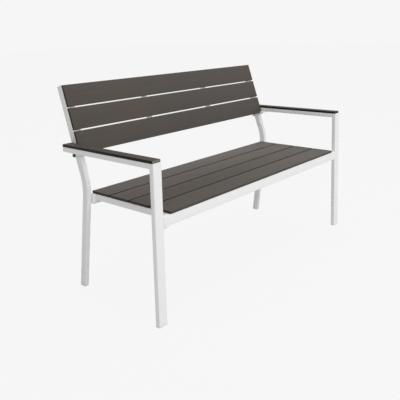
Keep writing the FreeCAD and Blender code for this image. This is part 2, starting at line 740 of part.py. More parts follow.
def back_strap():
    """Left middle strap that ties the back slats together."""
    half = STRAP_WIDTH / 2.0
    return flat_bar(-MID_SUPPORT_X - half, -MID_SUPPORT_X + half, STRAP_INSET, strap_screws())


def rail_flange():
    """Flat bar on the inner side of the left back rail that carries the ends of the back slats."""
    return flat_bar(-RAIL_INNER_X, RAIL_FLANGE_WIDTH - RAIL_INNER_X, RAIL_FLANGE_FOOT, flange_screws())


def frame_nodes():
    """Pieces of the standing frame and the seat."""
    nodes = {}
    screws = arm_slat_screws()
    drilled = Part.Compound(screws + horn_screws())
    both("front_leg", front_leg(), nodes)
    both("arm_tube", arm_tube().cut(drilled), nodes)
    both("arm_slat", arm_slat().cut(drilled), nodes)
    both("rear_leg", rear_leg(), nodes)
    both("hinge_plate", hinge_plate(), nodes)
    nodes["front_rail"] = front_rail()
    nodes["rear_rail"] = rear_rail()
    names = ("seat_side_rail_left", "seat_bearer_left", "seat_bearer_right", "seat_side_rail_right")
    for name, x in zip(names, bearer_places()):
        nodes[name] = bearer(x)
    for index in range(SEAT_SLAT_COUNT):
        nodes["seat_slat_%d" % (index + 1)] = seat_slat(index)
    nodes["rail_brackets"] = pair([rail_bracket()])
    nodes["rear_rail_plates"] = pair([rear_rail_plate()])
    nodes["front_glides"] = pair([front_glide()])
    nodes["rear_glides"] = pair([rear_glide()])
    nodes["rear_leg_plugs"] = pair([leg_plug()])
    nodes["arm_caps"] = pair([arm_cap()])
    nodes["seat_slat_screws"] = seat_screws()
    nodes["arm_slat_screws"] = pair(screws)
    nodes["arm_horn_screws"] = pair(horn_screws())
    nodes["rail_bracket_bolts"] = pair(bracket_bolts())
    nodes["rear_rail_bolts"] = pair(rear_rail_bolts())
    nodes["hinge_plate_bolts"] = pair(plate_bolts())
    nodes["pivot_bolts"] = pair([lean(pivot_bolt())])
    nodes["pivot_caps"] = pair([pivot_cap()])
    nodes["pivot_nuts"] = pair([pivot_nut()])
    nodes["pivot_washers"] = pair([pivot_washer()])
    return nodes


def back_nodes():
    """Pieces of the folding back."""
    nodes = {}
    both("back_rail", back_rail(), nodes)
    both("back_rail_flange", rail_flange(), nodes)
    both("hinge_block", hinge_block(), nodes)
    for index in range(BACK_SLAT_COUNT):
        nodes["back_slat_%d" % (index + 1)] = back_slat(index)
    both("back_strap", back_strap(), nodes)
    nodes["back_rail_caps"] = pair([back_rail_cap()])
    nodes["back_slat_screws"] = lean(back_screws())
    return nodes


def lock_nodes():
    """Pieces of the two locks, each turning about its own stud."""
    nodes = {}
    both("lock_knob", lock_knob(), nodes)
    both("lock_stud", lock_stud(), nodes)
    return nodes


def middle_of_depth():
    """Half way between the front edge of the seat and the rear of the folded-up back."""
    rear, _ = at_lean(RAIL_REAR_M, BACK_HEIGHT + END_CAP_THICK)
    return (rear - SEAT_OVERHANG) / 2.0


def main():
    """Build every piece and write it, with the middle of the depth at y = 0."""
    os.makedirs("parts", exist_ok=True)
    nodes = {}
    nodes.update(frame_nodes())
    nodes.update(back_nodes())
    nodes.update(lock_nodes())
    shift = V(0, -middle_of_depth(), 0)
    for name, shape in nodes.items():
        placed = shape.copy()
        placed.translate(shift)
        placed.exportStep("parts/" + name + ".step")


main()
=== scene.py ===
"""Convertible picnic table bench: boards, caps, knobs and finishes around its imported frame."""

import json
import math

import bmesh
import bpy
from bpy.props import FloatProperty, FloatVectorProperty, IntProperty, PointerProperty
from mathutils import Matrix, Vector


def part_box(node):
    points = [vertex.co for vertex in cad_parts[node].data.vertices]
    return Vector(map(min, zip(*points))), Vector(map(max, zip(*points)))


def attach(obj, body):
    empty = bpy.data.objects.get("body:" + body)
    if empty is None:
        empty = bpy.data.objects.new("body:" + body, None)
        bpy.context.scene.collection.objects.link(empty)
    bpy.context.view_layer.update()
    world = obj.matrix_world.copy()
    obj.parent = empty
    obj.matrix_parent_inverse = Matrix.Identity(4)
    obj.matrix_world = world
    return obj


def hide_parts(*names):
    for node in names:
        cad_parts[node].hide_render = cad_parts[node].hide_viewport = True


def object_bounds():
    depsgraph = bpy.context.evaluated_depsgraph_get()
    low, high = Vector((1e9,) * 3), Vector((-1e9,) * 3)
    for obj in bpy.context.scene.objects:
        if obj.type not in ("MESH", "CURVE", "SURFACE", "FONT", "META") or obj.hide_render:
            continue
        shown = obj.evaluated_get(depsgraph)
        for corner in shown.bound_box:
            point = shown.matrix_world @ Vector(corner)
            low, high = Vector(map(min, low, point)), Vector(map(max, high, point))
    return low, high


bl_info = {
    "name": "Convertible picnic table bench",
    "version": (1, 0, 0),
    "blender": (4, 5, 0),
    "location": "View3D > Sidebar > Bench",
    "description": "Models and finishes the boards, caps and knobs of a convertible garden bench",
    "category": "Object",
}

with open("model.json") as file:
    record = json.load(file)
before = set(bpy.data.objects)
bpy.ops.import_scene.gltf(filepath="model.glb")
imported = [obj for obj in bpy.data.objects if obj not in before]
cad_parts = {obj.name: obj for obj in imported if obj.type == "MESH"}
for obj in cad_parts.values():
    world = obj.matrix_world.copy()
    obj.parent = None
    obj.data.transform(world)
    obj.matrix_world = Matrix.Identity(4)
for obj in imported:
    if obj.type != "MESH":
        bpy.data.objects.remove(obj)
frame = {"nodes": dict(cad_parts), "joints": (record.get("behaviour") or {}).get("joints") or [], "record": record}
CAD_LOW, CAD_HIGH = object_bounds()
JOINTS = {joint["name"]: joint for joint in frame["joints"]}
PIVOT = Vector(JOINTS["back_fold"]["pos_m"])

SIDES = ("left", "right")
SEAT_BOARDS = ["seat_slat_%d" % number for number in (1, 2, 3, 4)]
BACK_BOARDS = ["back_slat_%d" % number for number in (1, 2, 3)]

X, Y, Z = 0, 1, 2
ALONG_BENCH = Vector((1.0, 0.0, 0.0))
REARWARD = Vector((0.0, 1.0, 0.0))
UPWARD = Vector((0.0, 0.0, 1.0))
MITRE = Vector((0.0, 1.0, 1.0))

# How close counts as the same place, in metres
ON_PLANE_WITHIN = 2e-6
STRAIGHT_WITHIN = 1e-6
MERGE_WITHIN = 1e-6
FACE_WITHIN = 1e-5

# Height of a normal from which its face looks up
LOOKS_UP_FROM = 0.99

# Small roundings: width in metres, and facets
GROOVE = (0.0004, 1)
PLUG_ROUNDING = (0.0004, 2)
CAP_ROUNDING = (0.0012, 3)
GLIDE_ROUNDING = (0.001, 3)
NUT_ROUNDING = (0.0007, 2)
COLLAR_ROUNDING = (0.0008, 3)
KNOB_FLANGE_ROUNDING = (0.0006, 2)
KNOB_BACK_ROUNDING = (0.0014, 4)
KNOB_FACE_ROUNDING = (0.0028, 4)
TUBE_CORNER_STEPS = 5
BOARD_END_STEPS = 2

# Edges up to this angle, in degrees, are shaded smoothly
SHADE_ANGLE = 35.0
KNOB_SHADE_ANGLE = 50.0

# Pivots
DOME_SHARE = 0.45
DOME_STEPS = 6
PIVOT_CAP_SIDES = 48
NUT_SIDES = 6
COLLAR_HEIGHT = 0.0018
COLLAR_RADIUS = 0.0055
COLLAR_SIDES = 32

# Lock knobs
KNOB_SIDES = 90
KNOB_FLANGE_SHARE = 0.28
KNOB_FLANGE_RADIUS = 0.0088
KNOB_FLANGE_SIDES = 40
DISH_RIM = 0.0022
DISH_DEPTH = 0.0008

# Grain of the boards: how fine it is along each axis, strength and depth of its relief,
# and what sets single boards apart: a painted sheen on each seat board, a painted highlight on the sawn ends of
# the arm rests, the tone of the arm rests, and gloss
GRAIN_ALONG_BENCH = (3.0, 420.0, 420.0)
GRAIN_ALONG_ARM = (420.0, 3.0, 420.0)
GRAIN_BUMP = (0.35, 0.0003)
# Painted sheen: the two rear seat boards lighter, the two front ones darker
SEAT_SHEEN_TONES = ((0.95, 0.92, 0.87), (0.87, 0.82, 0.76), (1.09, 1.06, 1.02), (1.15, 1.14, 1.12))
ARM_TONE = (0.84, 0.84, 0.84)
# Painted highlight on the sawn ends of the arm rests, full on the left arm and a quarter on the right
SAWN_HIGHLIGHT_SHARES = {"left": 1.0, "right": 0.25}
SEAT_GLOSS = 0.4
BACK_GLOSS = 0.25
ARM_GLOSS = 0.2

# Cosine from which a surface begins to look along an axis, and from which it fully does
FACING_RANGE = (0.85, 0.99)

# Lamps, floor and camera
KEY_SIZE = 3.2
KEY_PLACE = (-0.9, -4.7, 2.4)
TOP_SIZE = 3.0
TOP_PLACE = (0.6, -0.6, 3.8)
LAMP_TARGET = (0.0, 0.0, 0.4)
LIT_FLOOR_LEVEL = 0.86
SENSOR_WIDTH = 36.0


# Settings a user would change

class BenchBoardSettings(bpy.types.PropertyGroup):
    """Shape and colour of the boards."""
    edge_radius: FloatProperty(
        name="Edge radius", description="Rounding of the long edges of a board",
        default=0.0006, min=0.0, unit="LENGTH")
    end_radius: FloatProperty(
        name="End radius", description="Rounding of the sawn ends of a board",
        default=0.0007, min=0.0, unit="LENGTH")
    side_ease: FloatProperty(
        name="Side ease", description="How far the long sides of a seat board are drawn in at its gaps",
        default=0.0007, min=0.0, unit="LENGTH")
    top_ease: FloatProperty(
        name="Top ease", description="How far a back board ends below the top of its rounder solid",
        default=0.0005, min=0.0, unit="LENGTH")
    edge_steps: IntProperty(
        name="Edge steps", description="Facets across a rounded edge", default=4, min=1, max=12)
    back_lean: FloatProperty(
        name="Back lean", description="How far the back leans from upright at rest",
        default=math.radians(18.5), unit="ROTATION")
    face_colour: FloatVectorProperty(
        name="Face colour", description="Brown of the board faces", subtype="COLOR",
        default=(0.084, 0.072, 0.063), min=0.0, max=1.0)
    streak_colour: FloatVectorProperty(
        name="Streak colour", description="Darker brown of the fine streaks", subtype="COLOR",
        default=(0.065, 0.055, 0.048), min=0.0, max=1.0)
    # Faces that look along the bench are darkened: partly darker board edges, partly painted shade
    side_shade: FloatProperty(
        name="Side shade", description="Brightness of faces that look along the bench",
        default=0.20, min=0.0, max=1.0, subtype="FACTOR")
    # Painted shade on the long edges of the seat boards, down in their gaps, and on the ends of the arm rests
    gap_shade: FloatProperty(
        name="Gap shade", description="Brightness of the long edges in the gaps of the seat",
        default=0.02, min=0.0, max=1.0, subtype="FACTOR")
    # Painted shade along the long edges of the back boards
    back_edge_shade: FloatProperty(
        name="Back edge shade", description="Brightness of the long edges of the back boards",
        default=0.40, min=0.0, max=1.0, subtype="FACTOR")
    # Painted shade on the front edge of the seat, lighter than in the gaps
    front_edge_shade: FloatProperty(
        name="Front edge shade", description="Brightness of the front edge of the seat",
        default=0.75, min=0.0, max=1.0, subtype="FACTOR")
    # Painted highlight on the sawn front and rear ends of the arm rests
    sawn_highlight_colour: FloatVectorProperty(
        name="Sawn highlight colour", description="Paler olive of the sawn front and rear ends of the arm rests",
        subtype="COLOR", default=(0.175, 0.175, 0.140), min=0.0, max=1.0)


class BenchFrameSettings(bpy.types.PropertyGroup):
    """Shape and finish of the metal and plastic parts."""
    tube_radius: FloatProperty(
        name="Tube corner", description="Rounding of the long edges of the tubes",
        default=0.003, min=0.0, unit="LENGTH")
    low_lean: FloatProperty(
        name="Lower lean", description="How far the lower run of a rear leg leans forward as it rises",
        default=math.radians(7.64), unit="ROTATION")
    bend_radius: FloatProperty(
        name="Bend radius", description="Radius of the bend of the rear legs",
        default=0.210, min=0.05, unit="LENGTH")
    bend_steps: IntProperty(
        name="Bend steps", description="Steps round the bend of a rear leg", default=14, min=3, max=64)
    paint_colour: FloatVectorProperty(
        name="Paint colour", description="White of the powder coat", subtype="COLOR",
        default=(0.88, 0.88, 0.877), min=0.0, max=1.0)
    paint_roughness: FloatProperty(
        name="Paint roughness", description="Roughness of the powder coat",
        default=0.42, min=0.0, max=1.0, subtype="FACTOR")
    knob_radius: FloatProperty(
        name="Knob radius", description="Radius of a lock knob over its lobes",
        default=0.013, min=0.005, unit="LENGTH")
    knob_dip: FloatProperty(
        name="Knob dip", description="How deep the hollows between the lobes are",
        default=0.003, min=0.0, unit="LENGTH")
    knob_lobes: IntProperty(
        name="Knob lobes", description="Lobes of a lock knob", default=5, min=2, max=12)
    black_colour: FloatVectorProperty(
        name="Black plastic", description="Black of the pivot caps and lock knobs",
        subtype="COLOR", default=(0.022, 0.022, 0.023), min=0.0, max=1.0)
    pale_colour: FloatVectorProperty(
        name="Pale plastic", description="Pale grey of the glides and tube plugs",
        subtype="COLOR", default=(0.74, 0.74, 0.73), min=0.0, max=1.0)


class BenchStageSettings(bpy.types.PropertyGroup):
    """Floor, light and camera."""
    backdrop_level: FloatProperty(
        name="Backdrop level", description="Brightness of the pale ground behind the bench",
        default=0.922, min=0.0, max=1.0)
    floor_size: FloatProperty(
        name="Floor size", description="Edge length of the floor", default=60.0, unit="LENGTH")
    floor_level: FloatProperty(
        name="Floor level", description="Brightness of the pale floor, which melts into the backdrop",
        default=0.932, min=0.0, max=1.0)
    floor_shadow: FloatProperty(
        name="Floor shadow", description="Share of the lit floor that the camera sees",
        default=0.035, min=0.0, max=1.0, subtype="FACTOR")
    sky_strength: FloatProperty(
        name="Sky strength", description="Even light from all round", default=0.46, min=0.0)
    key_power: FloatProperty(
        name="Key power", description="Power of the large lamp in front", default=80.0, unit="POWER")
    top_power: FloatProperty(
        name="Top power", description="Power of the large lamp overhead", default=57.0, unit="POWER")
    camera_place: FloatVectorProperty(
        name="Camera place", description="Where the camera stands", subtype="TRANSLATION",
        default=(-1.9121, -1.5866, 1.0287), unit="LENGTH")
    camera_heading: FloatProperty(
        name="Camera heading", description="Turn of the view from straight on towards the right end",
        default=math.radians(48.940), unit="ROTATION")
    camera_pitch: FloatProperty(
        name="Camera pitch", description="How far the view looks down",
        default=math.radians(9.436), unit="ROTATION")
    camera_roll: FloatProperty(
        name="Camera roll", description="Roll of the view", default=math.radians(1.556), unit="ROTATION")
    camera_lens: FloatProperty(
        name="Camera lens", description="Focal length on a 36 mm wide sensor, in millimetres",
        default=49.78, min=1.0)
    camera_shift: FloatProperty(
        name="Camera shift", description="Upright shift of the lens, as a share of the picture's width",
        default=-0.1950)


# Modelling helpers

def pick_nothing():
    """Leave no object selected."""
    for obj in bpy.context.selected_objects:
        obj.select_set(False)


def pick(obj):
    """Select one object alone and make it active."""
    pick_nothing()
    obj.select_set(True)
    bpy.context.view_layer.objects.active = obj


def place_in_mesh(obj):
    """Move the object's place, turn and size into its mesh."""
    pick(obj)
    bpy.ops.object.transform_apply(location=True, rotation=True, scale=True)


def block(name, low, high):
    """A block between two corners, with its place in its mesh."""
    pick_nothing()
    low, high = Vector(low), Vector(high)
    bpy.ops.mesh.primitive_cube_add(size=1.0, location=(low + high) / 2)
    obj = bpy.context.object
    obj.name = name
    obj.scale = high - low
    place_in_mesh(obj)
    return obj


def drum(name, radius, centre, x0, x1, sides):
    """A drum round the line along X through a centre, from x0 to x1, with its place in its mesh."""
    pick_nothing()
    bpy.ops.mesh.primitive_cylinder_add(
        vertices=sides, radius=radius, depth=abs(x1 - x0),
        location=((x0 + x1) / 2, centre.y, centre.z), rotation=(0, math.radians(90), 0))
    obj = bpy.context.object
    obj.name = name
    place_in_mesh(obj)
    return obj


def in_edit_mode(obj, mode, work):
    """Run the work on an object in edit mode, with nothing selected at first."""
    pick(obj)
    bpy.ops.object.mode_set(mode="EDIT")
    bpy.ops.mesh.select_mode(type=mode)
    bpy.ops.mesh.select_all(action="DESELECT")
    work()
    bpy.ops.object.mode_set(mode="OBJECT")


def pick_edges(obj, wanted):
    """In edit mode, select the edges for which wanted(first, second) holds."""
    mesh = bmesh.from_edit_mesh(obj.data)
    for edge in mesh.edges:
        edge.select_set(wanted(edge.verts[0].co, edge.verts[1].co))
    bmesh.update_edit_mesh(obj.data)


def pick_faces(obj, wanted):
    """In edit mode, select the faces for which wanted(centre, normal) holds."""
    mesh = bmesh.from_edit_mesh(obj.data)
    for face in mesh.faces:
        face.select_set(wanted(face.calc_center_median(), face.normal))
    bmesh.update_edit_mesh(obj.data)


def bevel_edges(obj, wanted, width, steps):
    """Round the edges for which wanted(first, second) holds."""
    def work():
        pick_edges(obj, wanted)
        bpy.ops.mesh.bevel(offset=width, segments=steps, affect="EDGES", clamp_overlap=True)
    in_edit_mode(obj, "EDGE", work)


def cut_off(obj, point, normal):
    """Cut away what lies past a plane, on the side that its normal points to, and close the cut."""
    def work():
        bpy.ops.mesh.select_all(action="SELECT")
        bpy.ops.mesh.bisect(plane_co=point, plane_no=normal, use_fill=True, clear_outer=True)
    in_edit_mode(obj, "EDGE", work)


def outward(obj):
    """Turn all faces of a closed shape outwards."""
    def work():
        bpy.ops.mesh.select_all(action="SELECT")
        bpy.ops.mesh.remove_doubles(threshold=MERGE_WITHIN)
        bpy.ops.mesh.normals_make_consistent(inside=False)
    in_edit_mode(obj, "FACE", work)


def joined(name, pieces):
    """Several shapes as one object."""
    pick_nothing()
    for piece in pieces:
        piece.select_set(True)
    bpy.context.view_layer.objects.active = pieces[0]
    bpy.ops.object.join()
    obj = bpy.context.object
    obj.name = name
    return obj


def mirrored(obj, name):
    """A copy for the other end of the bench, with its own mesh."""
    pick(obj)
    bpy.ops.object.duplicate(linked=False)
    twin = bpy.context.object
    twin.name = name
    twin.scale.x = -1.0
    place_in_mesh(twin)
    outward(twin)
    return twin


def smooth(obj, angle=SHADE_ANGLE):
    """Shade smoothly over edges shallower than an angle in degrees."""
    pick(obj)
    bpy.ops.object.shade_smooth_by_angle(angle=math.radians(angle))


def along(axis):
    """Test for edges that run along an axis."""
    def test(first, second):
        way = second - first
        return abs(abs(way[axis]) - way.length) < STRAIGHT_WITHIN
    return test


def on_plane(point, normal):
    """Test for edges that lie in a plane."""
    point, normal = Vector(point), Vector(normal).normalized()

    def test(first, second):
        return all(abs((end - point).dot(normal)) < ON_PLANE_WITHIN for end in (first, second))
    return test


def at_x(x):
    """Test for edges that lie at one place along the bench."""
    return on_plane((x, 0, 0), ALONG_BENCH)


# Places read from the frame

def corners(points, side):
    """Lowest and highest corner of points, or of those on one side of the middle."""
    if side:
        points = [point for point in points if (point.x < 0) == (side == "left")]
    low = Vector([min(point[axis] for point in points) for axis in (X, Y, Z)])
    high = Vector([max(point[axis] for point in points) for axis in (X, Y, Z)])
    return low, high


def level_box(node, side):
    """Corners of the left or right half of a node."""
    return corners([vertex.co for vertex in frame["nodes"][node].data.vertices], side)


def upright_box(node, side=None):
    """Corners of a node of the back, or of its left or right half, with the back turned upright."""
    lean = bpy.context.scene.bench_boards.back_lean
    upright = Matrix.Rotation(lean, 4, "X") @ Matrix.Translation(-PIVOT)
    return corners([upright @ vertex.co for vertex in frame["nodes"][node].data.vertices], side)


def outer_and_inner(low, high, side):
    """Outer and inner end along the bench of a box at one side of it."""
    return (low.x, high.x) if side == "left" else (high.x, low.x)


def up_the_back():
    """The way up along the back and the upper run of a rear leg."""
    lean = bpy.context.scene.bench_boards.back_lean
    return Vector((0, math.sin(lean), math.cos(lean)))


# Shared shading groups

def feed(tree, socket, value):
    """Give an input another node's output or a plain value."""
    if isinstance(value, bpy.types.NodeSocket):
        tree.links.new(value, socket)
    elif socket.type == "RGBA":
        socket.default_value = (*value[:3], 1.0)
    else:
        socket.default_value = value


def new_group(name, inputs, outputs):
    """An empty shading group with named inputs and outputs."""
    group = bpy.data.node_groups.new(name, "ShaderNodeTree")
    for label, kind, value in inputs:
        socket = group.interface.new_socket(name=label, in_out="INPUT", socket_type=kind)
        if value is not None:
            socket.default_value = value
    for label, kind in outputs:
        group.interface.new_socket(name=label, in_out="OUTPUT", socket_type=kind)
    start = group.nodes.new("NodeGroupInput")
    end = group.nodes.new("NodeGroupOutput")
    return group, start, end


def math_node(tree, operation, first, second=None, clamp=False):
    """A Math node; its inputs are sockets or plain numbers."""
    node = tree.nodes.new("ShaderNodeMath")
    node.operation = operation
    node.use_clamp = clamp
    feed(tree, node.inputs[0], first)
    if second is not None:
        feed(tree, node.inputs[1], second)
    return node.outputs[0]


def vector_node(tree, operation, first, second):
    """A Vector Math node; its inputs are sockets or plain values."""
    node = tree.nodes.new("ShaderNodeVectorMath")
    node.operation = operation
    feed(tree, node.inputs[0], first)
    feed(tree, node.inputs[1], second)
    return node


def noise_node(tree, coordinates, scale, detail, roughness):
    """A Noise texture that reads the given coordinates; the scale may be a socket."""
    node = tree.nodes.new("ShaderNodeTexNoise")
    feed(tree, node.inputs["Vector"], coordinates)
    feed(tree, node.inputs["Scale"], scale)
    node.inputs["Detail"].default_value = detail
    node.inputs["Roughness"].default_value = roughness
    return node.outputs["Fac"]


def stretched(tree, coordinates, factors):
    """Coordinates multiplied axis by axis; the factors may be a socket."""
    return vector_node(tree, "MULTIPLY", coordinates, factors).outputs[0]


def spread(tree, value, old, new=(0.0, 1.0)):
    """Map a value from an old range to a new one, held at the ends."""
    node = tree.nodes.new("ShaderNodeMapRange")
    labels = ("Value", "From Min", "From Max", "To Min", "To Max")
    for label, given in zip(labels, (value, *old, *new)):
        feed(tree, node.inputs[label], given)
    return node.outputs["Result"]


def mix_colour(tree, factor, first, second, blend="MIX"):
    """A colour mix; each input is a socket or a plain value."""
    node = tree.nodes.new("ShaderNodeMix")
    node.data_type = "RGBA"
    node.blend_type = blend
    sockets = (node.inputs["Factor"], node.inputs[6], node.inputs[7])
    for socket, value in zip(sockets, (factor, first, second)):
        feed(tree, socket, value)
    return node.outputs[2]


def facing(tree, normal, axis):
    """One where a surface looks along an axis or against it, else zero; the axis may be a socket."""
    dot = vector_node(tree, "DOT_PRODUCT", normal, axis)
    return spread(tree, math_node(tree, "ABSOLUTE", dot.outputs["Value"]), FACING_RANGE)


def board_grain_group():
    """Fine streaks along the board, broad drift of the colour, and the height of the brushed surface."""
    group, start, end = new_group(
        "Board grain",
        [("Vector", "NodeSocketVector", None),
         ("Normal", "NodeSocketVector", None),
         ("Stretch", "NodeSocketVector", GRAIN_ALONG_BENCH),
         ("Face axis", "NodeSocketVector", tuple(UPWARD)),
         ("Face colour", "NodeSocketColor", (0.09, 0.08, 0.07, 1.0)),
         ("Streak colour", "NodeSocketColor", (0.07, 0.06, 0.05, 1.0)),
         ("Edge shade", "NodeSocketFloat", 0.25),
         ("Side shade", "NodeSocketFloat", 0.2),
         ("Tone and sheen", "NodeSocketColor", (1.0, 1.0, 1.0, 1.0)),
         ("Sawn highlight colour", "NodeSocketColor", (0.15, 0.15, 0.12, 1.0)),
         ("Sawn highlight share", "NodeSocketFloat", 0.0)],
        [("Color", "NodeSocketColor"), ("Roughness", "NodeSocketFloat"), ("Height", "NodeSocketFloat")])
    given = start.outputs
    vector, normal = given["Vector"], given["Normal"]

    # Patterns: fine streaks and finer fibres along the board, and a broad drift
    along_grain = stretched(group, vector, given["Stretch"])
    streaks = noise_node(group, along_grain, scale=1.0, detail=4.0, roughness=0.62)
    fibres = noise_node(group, along_grain, scale=3.6, detail=2.0, roughness=0.5)
    broadly = stretched(group, vector, (1.3, 3.0, 3.0))
    drift = noise_node(group, broadly, scale=1.0, detail=2.0, roughness=0.5)

    # Colour: brown with darker streaks, drifting from cool to warm, in the tone of the board; on the seat boards
    # this tone is a painted sheen
    streak_mask = spread(group, streaks, (0.42, 0.70), (0.0, 0.75))
    colour = mix_colour(group, streak_mask, given["Face colour"], given["Streak colour"])
    warm = spread(group, drift, (0.35, 0.65))
    tint = mix_colour(group, warm, (0.95, 0.985, 1.0), (1.07, 1.0, 0.96))
    for layer in (tint, given["Tone and sheen"]):
        colour = mix_colour(group, 1.0, colour, layer, "MULTIPLY")

    # Painted shade on the narrow sides, in the gaps and on the edges, deepening the darker board edges, and a
    # painted highlight on the sawn ends
    broad = facing(group, normal, given["Face axis"])
    shade = mix_colour(group, broad, given["Edge shade"], (1.0, 1.0, 1.0))
    shade = mix_colour(group, facing(group, normal, ALONG_BENCH), shade, given["Side shade"])
    colour = mix_colour(group, 1.0, colour, shade, "MULTIPLY")
    # Painted highlight on the sawn front and rear ends of the arm rests
    sawn = math_node(group, "MULTIPLY", facing(group, normal, REARWARD), given["Sawn highlight share"])
    colour = mix_colour(group, sawn, colour, given["Sawn highlight colour"])

    # Brushed surface
    rough = spread(group, fibres, (0.3, 0.7), (0.60, 0.74))
    height = math_node(group, "ADD", math_node(group, "MULTIPLY", streaks, 0.7),
                       math_node(group, "MULTIPLY", fibres, 0.3))
    group.links.new(colour, end.inputs["Color"])
    group.links.new(rough, end.inputs["Roughness"])
    group.links.new(height, end.inputs["Height"])
    return group


def paint_group():
    """Orange peel height of a powder coat, and a faint film of dust on faces that look up."""
    group, start, end = new_group(
        "Powder coat",
        [("Vector", "NodeSocketVector", None),
         ("Normal", "NodeSocketVector", None),
         ("Colour", "NodeSocketColor", (0.85, 0.85, 0.85, 1.0)),
         ("Peel scale", "NodeSocketFloat", 650.0),
         ("Roughness", "NodeSocketFloat", 0.42),
         ("Dust", "NodeSocketFloat", 0.04)],
        [("Color", "NodeSocketColor"), ("Roughness", "NodeSocketFloat"), ("Height", "NodeSocketFloat")])
    given = start.outputs
    peel = noise_node(group, given["Vector"], given["Peel scale"], detail=2.0, roughness=0.5)
    drift = noise_node(group, given["Vector"], scale=9.0, detail=3.0, roughness=0.6)

    # Dust lies in patches, most on faces that look up
    normal = group.nodes.new("ShaderNodeSeparateXYZ")
    group.links.new(given["Normal"], normal.inputs[0])
    upward = spread(group, normal.outputs["Z"], (0.3, 1.0), (0.15, 1.0))
    film = math_node(group, "MULTIPLY", spread(group, drift, (0.35, 0.75)), upward)
    film = math_node(group, "MULTIPLY", film, given["Dust"])
    dust_colour = (0.42, 0.40, 0.36)
    colour = mix_colour(group, film, given["Colour"], dust_colour)

    uneven = spread(group, drift, (0.3, 0.7), (-0.04, 0.05))
    rough = math_node(group, "ADD", given["Roughness"], uneven)
    group.links.new(colour, end.inputs["Color"])
    group.links.new(rough, end.inputs["Roughness"])
    group.links.new(peel, end.inputs["Height"])
    return group


def new_material(name, group, values, bump, metallic=0.0, gloss=0.5):
    """A Principled material fed by a shading group; bump is the strength and the distance."""
    material = bpy.data.materials.new(name)
    material.use_nodes = True
    tree = material.node_tree
    shader = tree.nodes["Principled BSDF"]
    shader.inputs["Metallic"].default_value = metallic
    shader.inputs["Specular IOR Level"].default_value = gloss
    coordinates = tree.nodes.new("ShaderNodeTexCoord")
    pattern = tree.nodes.new("ShaderNodeGroup")
    pattern.node_tree = group
    tree.links.new(coordinates.outputs["Object"], pattern.inputs["Vector"])
    tree.links.new(coordinates.outputs["Normal"], pattern.inputs["Normal"])
    for label, value in values.items():
        feed(tree, pattern.inputs[label], value)
    tree.links.new(pattern.outputs["Color"], shader.inputs["Base Color"])
    tree.links.new(pattern.outputs["Roughness"], shader.inputs["Roughness"])
    relief = tree.nodes.new("ShaderNodeBump")
    relief.inputs["Strength"].default_value, relief.inputs["Distance"].default_value = bump
    tree.links.new(pattern.outputs["Height"], relief.inputs["Height"])
    tree.links.new(relief.outputs["Normal"], shader.inputs["Normal"])


def make_board_materials():
    """The brown of each seat board, lighter or darker by a painted sheen, of the back and of the two arm rests."""
    boards = bpy.context.scene.bench_boards
    grain = board_grain_group()
    shared = {"Face colour": boards.face_colour, "Streak colour": boards.streak_colour,
              "Side shade": boards.side_shade, "Edge shade": boards.gap_shade}
    # Each seat board gets its own painted sheen
    for number, sheen_tone in enumerate(SEAT_SHEEN_TONES, 1):
        values = {**shared, "Tone and sheen": sheen_tone}
        if number == 1:
            values["Edge shade"] = boards.front_edge_shade
        new_material("Brown seat board %d" % number, grain, values, GRAIN_BUMP, gloss=SEAT_GLOSS)
    back = {"Edge shade": boards.back_edge_shade,
            "Face axis": (0.0, math.cos(boards.back_lean), -math.sin(boards.back_lean))}
    new_material("Brown back board", grain, {**shared, **back}, GRAIN_BUMP, gloss=BACK_GLOSS)
    arm = {"Stretch": GRAIN_ALONG_ARM, "Tone and sheen": ARM_TONE, "Sawn highlight colour": boards.sawn_highlight_colour}
    # Each arm rest gets its own share of the painted highlight
    for side in SIDES:
        values = {**shared, **arm, "Sawn highlight share": SAWN_HIGHLIGHT_SHARES[side]}
        new_material("Brown arm board, " + side, grain, values, GRAIN_BUMP, gloss=ARM_GLOSS)


def make_frame_materials():
    """Powder coat, plastics and plated steel."""
    metal = bpy.context.scene.bench_frame
    paint = paint_group()
    new_material("White powder coat", paint,
                 {"Colour": metal.paint_colour, "Roughness": metal.paint_roughness}, (0.12, 0.0001))
    # Name, colour, roughness, scale of the peel, dust, strength and distance of the bump, metallic
    for name, colour, roughness, scale, dust, bump, metallic in (
            ("Black plastic", metal.black_colour, 0.36, 1400.0, 0.02, (0.2, 0.0001), 0.0),
            ("Pale plastic", metal.pale_colour, 0.5, 1400.0, 0.1, (0.2, 0.0001), 0.0),
            ("Nylon", (0.70, 0.69, 0.65), 0.45, 1400.0, 0.03, (0.15, 0.0001), 0.0),
            ("Zinc plated steel", (0.56, 0.56, 0.54), 0.3, 2200.0, 0.06, (0.15, 0.00005), 1.0)):
        values = {"Colour": colour, "Roughness": roughness, "Peel scale": scale, "Dust": dust}
        new_material(name, paint, values, bump, metallic=metallic)


# Pieces

def finish_piece(obj, body, material, slot, *nodes):
    """Give the piece its material and body, and hide the nodes that it stands for. The slot is not used."""
    obj.data.materials.clear()
    obj.data.materials.append(bpy.data.materials[material])
    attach(obj, body)
    if nodes:
        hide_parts(*nodes)


def paint_tube(obj, body, node):
    """Finish a white tube that stands for a node of the frame."""
    smooth(obj)
    finish_piece(obj, body, "White powder coat", "frame_white", node)


def finish_plug(obj, body, node):
    """Finish a pale glide, plug or cap that stands for a node together with its twin."""
    finish_piece(obj, body, "Pale plastic", "plastic_pale", node)


def board(name, low, high, long_axis):
    """One board with rounded long edges and eased ends."""
    settings = bpy.context.scene.bench_boards
    obj = block(name, low, high)
    bevel_edges(obj, along(long_axis), settings.edge_radius, settings.edge_steps)
    way = (ALONG_BENCH, REARWARD)[long_axis]
    for end in (low, high):
        bevel_edges(obj, on_plane(end, way), settings.end_radius, BOARD_END_STEPS)
    smooth(obj)
    return obj


